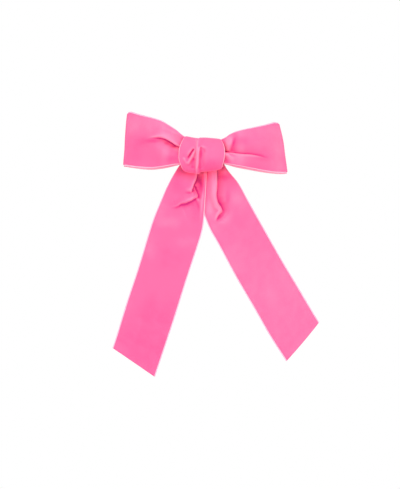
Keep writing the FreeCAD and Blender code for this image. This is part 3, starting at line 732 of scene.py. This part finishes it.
def knot_turn(left_edge, right_edge, lift, curl, columns):
    """One turn of ribbon round the waist.

    Seen from the side, each column is an oval that is fuller in front than behind. Seen from the
    front, it stays between the two edges, and it narrows behind. If curl isn't 0, the left edge is
    rolled under round a circle of that radius, so that the pile shows and the selvedge doesn't.
    """
    rows = 260
    angle = np.linspace(0, math.tau, rows, endpoint=False)[:, None]
    rise, reach = np.sin(angle), np.cos(angle)

    def edge_at(points, z):
        line = spline(points, np.linspace(0, len(points) - 1, 80))[::-1]
        return np.interp(z, line[:, 1], line[:, 0])

    height = KNOT_HALF_HEIGHT * rise
    x_left, x_right = edge_at(left_edge, height), edge_at(right_edge, height)
    inward = (x_right - x_left) * np.linspace(0, 1, columns)
    down = 0.0
    if curl:
        bent = np.clip((2.6 * curl - inward) / curl, 0, None)
        inward = np.where(bent > 0, curl * (1 - np.sin(bent)), inward - 1.6 * curl)
        inward *= (x_right - x_left) / inward[:, -1:]
        down = curl * (1 - np.cos(bent)) - 0.8 * curl * np.exp(-((inward - curl) / 2.2) ** 2)
    in_front = smooth(-0.3, 0.4, reach)
    x = (x_left + inward) * (in_front + (1 - in_front) * KNOT_BACK_SHARE)
    top, bottom = edge_height(KNOT_TOP, x), edge_height(KNOT_BOTTOM, x)
    z = (top + bottom) / 2 + (top - bottom) / 2 * np.abs(rise) ** KNOT_FULLNESS * np.sign(rise)
    z = z + (np.minimum(lift, 0.5) - np.maximum(down, 0)) * rise
    lift = lift - down
    middle, fore, aft = KNOT_DEPTH
    crown = 1 - 0.17 * (np.abs(x + 0.8) / 18.5) ** 3
    y_front = middle - (fore * crown + lift) * np.abs(reach) ** 0.9
    y_back = middle + (aft + lift) * np.abs(reach) ** 0.6
    return np.stack(np.broadcast_arrays(x, np.where(reach > 0, y_front, y_back), z), -1)


# the under turn's folds make a V, and the over turn's make a rolled ridge with a deep fold beside it
UNDER_FOLDS = (
    (push, dict(
        path=[(-5.9, 5.0), (-7.4, 0.5), (-9.0, -2.9), (-10.6, -5.7), (-11.8, -8.4)],
        out=1.6, left=0.9, right=1.4, fade=(0.25, 0.2),
    )),
    (push, dict(
        path=[(-15.2, -0.8), (-14.6, -3.5), (-13.2, -6.3), (-11.8, -9.0)],
        out=0.8, left=1.5, right=1.2, fade=(0.4, 0.3),
    )),
    (push, dict(
        path=[(-6.8, 4.6), (-8.3, 2.0), (-9.9, -0.4), (-12.0, -3.8)],
        out=-2.2, left=0.75, right=0.8, fade=(0.2, 0.25),
    )),
    (push, dict(
        path=[(-7.0, -1.6), (-7.8, -6.0), (-8.0, -12.0)],
        out=-1.0, left=1.9, right=1.7, fade=(0.3, 0.2),
    )),
)
OVER_FOLDS = (
    (tuck, dict(
        path=[(-3.0, -12.6), (-2.6, -6.5), (-2.4, -0.5), (-1.8, 3.0), (-0.9, 6.4)],
        lip=1.5, sunk=2.8, above=2.3, below=2.8, roll=0.6, fade=(0.2, 0.3), sharp=0.5,
    )),
    (swell, dict(middle=(8.0, 1.0), size=(7, 9), out=0.6)),
)


def knot_surfaces():
    """The under turn, which shows at the left, and the over turn, whose rolled left edge lies on it."""
    turns = (
        (UNDER_LEFT, UNDER_RIGHT, 0.0, 0.0, UNDER_FOLDS),
        (OVER_LEFT, OVER_RIGHT, 1.0, 0.95, OVER_FOLDS),
    )
    made = []
    for left, right, lift, curl, folds in turns:
        plain = knot_turn(left, right, lift, curl, 121)
        in_front = smooth(17.5, 20.0, -plain[..., 1:2])
        made.append(blurred(plain + (folded(plain, folds) - plain) * in_front, 2, True))
    return made


# ---------------------------------------------------------------- tails

# edges of each tail as (mm below the bend line, x, z), from behind the knot down to the cut
LEFT_TAIL_LEFT = (
    (-58, -9.5, 9.0), (-48, -13.5, -1.0), (-38, -20.3, -10.4), (-22, -27.6, -23.1), (-7, -33.8, -37.2),
    (7, -39.0, -49.8), (21, -43.3, -62.9), (48, -51.1, -88.6), (75, -59.6, -114.2), (101, -67.3, -139.3),
    (114, -71.0, -150.9), (130, -75.7, -166.2),
)
LEFT_TAIL_RIGHT = (
    (-58, 3.6, 9.2), (-48, 3.6, -2.2), (-38, 3.3, -13.2), (-22, 2.5, -29.6), (-7, 1.6, -43.4),
    (7, 0.0, -57.7), (21, -4.1, -71.9), (48, -12.6, -97.6), (75, -20.7, -123.4), (101, -28.8, -148.0),
    (114, -33.0, -160.5), (130, -38.1, -175.8),
)
RIGHT_TAIL_LEFT = (
    (-58, 0.0, 9.2), (-48, 0.6, -2.2), (-38, 1.0, -13.0), (-22, 0.0, -28.0), (-7, 0.3, -44.0),
    (7, 5.0, -57.6), (21, 12.5, -71.0), (48, 26.0, -96.2), (75, 39.7, -119.7), (101, 52.6, -142.3),
    (124, 64.1, -160.1), (130, 67.2, -165.3),
)
RIGHT_TAIL_RIGHT = (
    (-58, 14.5, 8.6), (-48, 15.0, 0.0), (-38, 18.2, -9.9), (-22, 28.0, -22.1), (-7, 34.7, -33.8),
    (7, 41.2, -45.5), (21, 48.2, -57.9), (48, 62.0, -82.0), (75, 76.4, -106.1), (101, 89.9, -128.7),
    (124, 102.4, -147.9), (130, 105.6, -152.9),
)
LEFT_TAIL_CUT = (114.7, 128.7)
RIGHT_TAIL_CUT = (126.8, 104.1)
LEFT_SEED, RIGHT_SEED = 126, 137  # for the chance waves along each tail
LEFT_TAIL_DEPTH = (
    (-60, -11.5), (-48, -12.2), (-33, -15.0), (-20, -15.8), (-8, -15.2), (6, -14.2), (22, -13.4),
    (45, -12.8), (90, -12.2), (130, -12.8),
)
RIGHT_TAIL_DEPTH = (
    (-60, -10.15), (-48, -10.7), (-33, -13.2), (-20, -13.8), (-8, -13.2), (6, -12.3), (22, -11.6),
    (45, -11.1), (90, -10.5), (130, -11.2),
)
# patches that paint the pile deeper or paler, partly for how it lies and partly as painted shade and
# highlight: (x, z, reach in x, reach in z, amount), more than 0 deeper and less than 0 paler
LOOP_PATCHES = (
    (-45, 24, 22, 9, -0.3), (-47, 11, 10, 4.5, 0.2), (-39.5, 10.6, 5.5, 1.6, 0.55),
    (-27.5, 8.6, 2.4, 1.3, 0.5), (-23.5, 6.3, 2.2, 1.2, 0.5), (-23, 14, 7, 5, -0.3),
    (-29, -1, 9, 7, 0.15), (-24, -4, 5, 4, 0.35), (-20, 4.6, 4, 2, -0.6), (-20, 13, 3, 5, -0.3),
    (-52, 3, 5, 9, 0.16), (-55, 24, 5, 9, -0.22), (44, 19, 18, 5.5, -0.25), (30, 10, 4.5, 5, 0.3),
    (60, 9, 5.5, 18, -0.45), (61, -9, 4, 5, -0.35), (46, -2, 6, 3, 0.3),
    (19.6, 9.3, 2.4, 5.5, -1.0), (24.4, 6, 1.6, 4, 0.1), (22.4, -3.0, 3.4, 2.0, -0.9),
    (18.6, -5.2, 2.2, 1.8, 0.4),
)
KNOT_PATCHES = (
    (0, -12.5, 20, 6, 0.36), (-1.6, 0.6, 0.9, 3.6, 0.9), (-2.4, -8, 0.8, 5, 0.45),
    (-5.0, 0, 1.0, 12, -0.9), (8, -7, 9, 4, 0.1),
)
LEFT_PATCHES = (
    (-17, -12.5, 7, 3, 0.25), (-14, -26, 7, 6, 0.12), (-19, -21, 6, 8, 0.16),
    (-1.8, -24, 2.4, 6.0, 0.9), (-2.2, -14.5, 2, 2.5, -0.5), (-6.6, -30, 1.8, 3, 0.5),
    (-15, -38, 10, 3.5, 0.28), (-27, -53, 12, 4, -0.32), (-33, -42, 5, 7, -0.25),
    (-41, -72, 5, 9, -0.25), (-12, -69, 10, 4, -0.2), (-6, -46, 4, 7, 0.18),
    (-26, -80, 12, 9, 0.14), (-38, -125, 14, 12, 0.24), (-42, -156, 20, 18, 0.18),
)
RIGHT_PATCHES = (
    (19, -12.5, 6, 1.8, -0.25), (17, -17.5, 5, 2.5, 0.5), (14, -36, 2.2, 4, 0.3),
    (8, -26, 4, 14, -0.5), (5.5, -42, 4, 7, -0.7), (9, -56, 5, 5, -0.3), (19.5, -34, 2.2, 6, 0.4),
    (27, -36, 9, 8, -0.3), (25, -28, 5, 5, 0.1), (16, -46, 3, 3, -0.4), (22, -82, 11, 18, -0.22),
    (62, -110, 44, 50, -0.28),
)


def tail_surface(left_edge, right_edge, cut, depth, seed):
    """A hanging ribbon: even columns from its left edge to its right, cut off on a slant.

    Each edge is a smooth curve whose first value is the distance down the ribbon, and each column
    ends where the cut crosses it.
    """
    columns, rows = 141, 310
    across = np.linspace(1, 0, columns)
    top = left_edge[0][0]
    end = cut[0] + (cut[1] - cut[0]) * across
    # closer rows at the top, where the folds are
    share = np.linspace(0, 1, rows)[:, None]
    down = top + (end - top) * (0.5 * share + 0.5 * share**3)

    def edge(points):
        line = spline(points, np.linspace(0, len(points) - 1, 500))
        return np.stack([np.interp(down, line[:, 0], line[:, k]) for k in (1, 2)], -1)

    flat = edge(left_edge) * (1 - across[:, None]) + edge(right_edge) * across[:, None]
    y = edge_height(depth, down)
    surface = np.stack([flat[..., 0], y, flat[..., 1]], -1)
    waves = ripples(down, across * 38, seed, size=60.0, height=0.45)
    surface[..., 1] += waves * smooth(-40, 20, down)
    return surface


# the left tail's folds: a full lobe at the upper left, the deep valley beside it, and its lower crease
LEFT_TAIL_FOLDS = (
    (swell, dict(middle=(-14, -24), size=(9, 13), out=3.0)),
    (swell, dict(middle=(-2.2, -20), size=(4.0, 9), out=-1.6)),
    (tuck, dict(
        path=[(-8.0, -30.0), (-7.7, -27.4), (-6.1, -22.9), (-4.4, -19.0), (-3.8, -15.0), (-3.8, -9)],
        lip=1.8, sunk=2.2, above=4.0, below=3.2, roll=0.7, fade=(0.2, 0.02),
    )),
    (tuck, dict(
        path=[(-4.9, -34.6), (-3.6, -32.4), (-4.5, -29.4), (-6.0, -25.8), (-6.4, -23.4)],
        lip=0.9, sunk=1.3, above=2.0, below=1.8, roll=0.3, fade=(0.2, 0.3),
    )),
    (tuck, dict(
        path=[
            (-27.5, -42.6), (-23.2, -42.0), (-19.3, -41.0), (-16.5, -39.2), (-13.0, -38.5),
            (-10.6, -37.3), (-8.6, -36.6), (-6.6, -35.2), (-3.6, -34.0),
        ],
        lip=1.1, sunk=1.1, above=6.0, below=6.5, roll=0.6, fade=(0.6, 0.1), sharp=0.8,
    )),
    (push, dict(
        path=[(1.6, -10), (1.2, -20), (0.0, -30), (-1.0, -40), (-1.8, -48), (-4.0, -60)],
        out=1.3, left=1.8, right=1.8, fade=(0.1, 0.5),
    )),
)
RIGHT_TAIL_FOLDS = (
    (push, dict(
        path=[(7.4, -9), (7.6, -20), (8.2, -31), (10.4, -38), (12.0, -43), (12.6, -49)],
        out=2.6, left=3.4, right=3.2, fade=(0.05, 0.35),
    )),
    (tuck, dict(
        path=[
            (11.0, -54), (11.5, -50.6), (13.3, -47.2), (15.7, -44.4), (14.6, -40.5), (12.4, -37.2),
            (11.2, -32.0), (11.6, -27.4), (11.9, -22.2), (11.7, -15.0), (11.1, -9.0),
        ],
        lip=1.6, sunk=2.4, above=3.4, below=4.0, roll=0.6, fade=(0.35, 0.02),
    )),
    (swell, dict(middle=(19, -19), size=(6, 8), out=-0.9)),
    (swell, dict(middle=(27, -31), size=(8, 9), out=1.2)),
)


# ---------------------------------------------------------------- operators


class MakeLoops(bpy.types.Operator):
    """Make the ribbon of both loops"""

    bl_idname = "bow.make_loops"
    bl_label = "Loops"

    def execute(self, context):
        surface, painted_fold_weight = loop_surface()
        piece = ribbon_piece("loops_ribbon", surface, True, ribbon_finishes(), LOOP_PATCHES, painted_fold_weight)
        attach(piece, "bow")
        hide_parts("loop_ribbon")
        return {"FINISHED"}


class MakeKnot(bpy.types.Operator):
    """Make the two turns of ribbon round the waist"""

    bl_idname = "bow.make_knot"
    bl_label = "Knot"

    def execute(self, context):
        under, over = knot_surfaces()
        for name, surface in (("knot_under_turn", under), ("knot_over_turn", over)):
            piece = ribbon_piece(name, surface, True, ribbon_finishes(), KNOT_PATCHES)
            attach(piece, "bow")
            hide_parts("knot_ribbon")
        return {"FINISHED"}


class MakeTails(bpy.types.Operator):
    """Make both tails, each one ribbon"""

    bl_idname = "bow.make_tails"
    bl_label = "Tails"

    def execute(self, context):
        left = (LEFT_TAIL_LEFT, LEFT_TAIL_RIGHT, LEFT_TAIL_CUT, LEFT_TAIL_DEPTH, LEFT_SEED)
        right = (RIGHT_TAIL_LEFT, RIGHT_TAIL_RIGHT, RIGHT_TAIL_CUT, RIGHT_TAIL_DEPTH, RIGHT_SEED)
        sides = (
            ("left", left, LEFT_TAIL_FOLDS, LEFT_PATCHES),
            ("right", right, RIGHT_TAIL_FOLDS, RIGHT_PATCHES),
        )
        for side, outline, folds, patches in sides:
            surface = blurred(folded(tail_surface(*outline), folds), 2, False)
            piece = ribbon_piece(side + "_tail_ribbon", surface, False, ribbon_finishes(), patches)
            joint = JOINTS[side + "_tail_swing"]
            place, axis = np.array(joint["pos_m"]), np.array(joint["axis"])
            down = np.cross(axis, (0.0, 1.0, 0.0))
            down = down if down[2] < 0 else -down
            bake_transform(piece)
            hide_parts(side + "_tail_top", side + "_tail")
        return {"FINISHED"}


class FinishClip(bpy.types.Operator):
    """Give the clip and the threads their finishes"""

    bl_idname = "bow.finish_clip"
    bl_label = "Clip and threads"

    def execute(self, context):
        makers = {
            "nickel_plate": nickel_plate,
            "spring_steel": spring_steel,
            "sewing_thread": polyester_thread,
        }
        for part in frame["record"]["subparts"]:
            make = makers.get(part["material_slot"])
            if make is None:
                continue
            data = frame["nodes"][part["node"]].data
            data.materials.clear()
            data.materials.append(finish_of(make.__name__, make))
        return {"FINISHED"}


class MakeStage(bpy.types.Operator):
    """Make the floor, the lights and the camera"""

    bl_idname = "bow.make_stage"
    bl_label = "Stage"

    def execute(self, context):
        stage = context.scene.stage
        self.floor(stage)
        self.lights()
        self.camera(stage)
        return {"FINISHED"}

    def floor(self, stage):
        """A round floor, as a flat grid of rings."""
        turn = np.linspace(0, math.tau, FLOOR_SIDES, endpoint=False)
        reach = np.array(FLOOR_RINGS)[:, None]
        x, y = reach * np.cos(turn), reach * np.sin(turn)
        points = np.stack([x, y, np.full(x.shape, stage.floor_z)], -1).transpose(1, 0, 2)
        faces = quads(FLOOR_SIDES, len(FLOOR_RINGS), 0, True, True)
        mesh = bpy.data.meshes.new("floor")
        mesh.from_pydata(points.reshape(-1, 3).tolist(), [], faces.tolist())
        mesh.update()
        mesh.materials.append(finish_of("backlit_acrylic", backlit_acrylic))
        floor = bpy.data.objects.new("floor", mesh)
        bpy.context.scene.collection.objects.link(floor)

    def lights(self):
        """Soft boxes and a white surround."""
        boxes = (
            ("key_light", (0.2, -1.15, 1.05), 1.2, 17.0),
            ("fill_light", (-0.7, -1.3, -0.1), 0.9, 4.5),
            ("back_light", (0.5, 1.1, 0.6), 0.9, 7.0),
        )
        for name, place, size, power in boxes:
            data = bpy.data.lights.new(name, "AREA")
            data.shape, data.size, data.energy = "DISK", size, power
            lamp = bpy.data.objects.new(name, data)
            bpy.context.scene.collection.objects.link(lamp)
            lamp.location = place
            aim = np.array([0.0, -0.01, -0.05]) - np.array(place)
            lamp.rotation_euler = vector_to_euler(aim)
        world = bpy.data.worlds.new("white_surround")
        bpy.context.scene.world = world
        world.use_nodes = True
        tree = world.node_tree
        tree.nodes.clear()
        seen = add(tree, "ShaderNodeLightPath").outputs["Is Camera Ray"]
        place = add(tree, "ShaderNodeTexCoord").outputs["Generated"]
        up = add(tree, "ShaderNodeSeparateXYZ", {}, {0: place}).outputs[2]
        sky = add(tree, "ShaderNodeMapRange", {1: -1.0, 2: 1.0, 3: 0.42, 4: 0.86}, {0: up}).outputs[0]
        strength = math_node(tree, "MAXIMUM", seen, sky)
        background = add(tree, "ShaderNodeBackground", {"Color": (1, 1, 1, 1)}, {"Strength": strength})
        add(tree, "ShaderNodeOutputWorld", {}, {"Surface": background.outputs[0]})
        bpy.context.scene.view_settings.view_transform = "Standard"

    def camera(self, stage):
        """A long lens, square on to the bow."""
        data = bpy.data.cameras.new("camera")
        data.lens, data.sensor_width = stage.lens, 36.0
        data.dof.use_dof = False
        camera = bpy.data.objects.new("camera", data)
        bpy.context.scene.collection.objects.link(camera)
        distance = stage.view_height * stage.lens / data.sensor_width
        camera.location = (-2.35 * MM, -13.0 * MM - distance, -70.1 * MM)
        camera.rotation_euler = (math.pi / 2, 0, 0)
        bpy.context.scene.camera = camera


def vector_to_euler(direction):
    """The rotation that points a lamp or camera along a direction."""
    return Vector(direction).to_track_quat("-Z", "Y").to_euler()


class BowPanel(bpy.types.Panel):
    """Steps of the bow in the 3D view's sidebar"""

    bl_idname = "VIEW3D_PT_bow"
    bl_label = "Velvet bow"
    bl_space_type = "VIEW_3D"
    bl_region_type = "UI"
    bl_category = "Bow"

    def draw(self, context):
        for operator in STEPS:
            self.layout.operator(operator.bl_idname)


STEPS = (MakeStage, MakeLoops, MakeKnot, MakeTails, FinishClip)
CLASSES = (BowSettings, StageSettings, *STEPS, BowPanel)


def register():
    for item in CLASSES:
        bpy.utils.register_class(item)
    bpy.types.Scene.bow = bpy.props.PointerProperty(type=BowSettings)
    bpy.types.Scene.stage = bpy.props.PointerProperty(type=StageSettings)


def unregister():
    del bpy.types.Scene.stage
    del bpy.types.Scene.bow
    for item in reversed(CLASSES):
        bpy.utils.unregister_class(item)


def main():
    register()
    bpy.ops.bow.make_stage()
    bpy.ops.bow.make_loops()
    bpy.ops.bow.make_knot()
    bpy.ops.bow.make_tails()
    bpy.ops.bow.finish_clip()


if __name__ == "__main__":
    main()
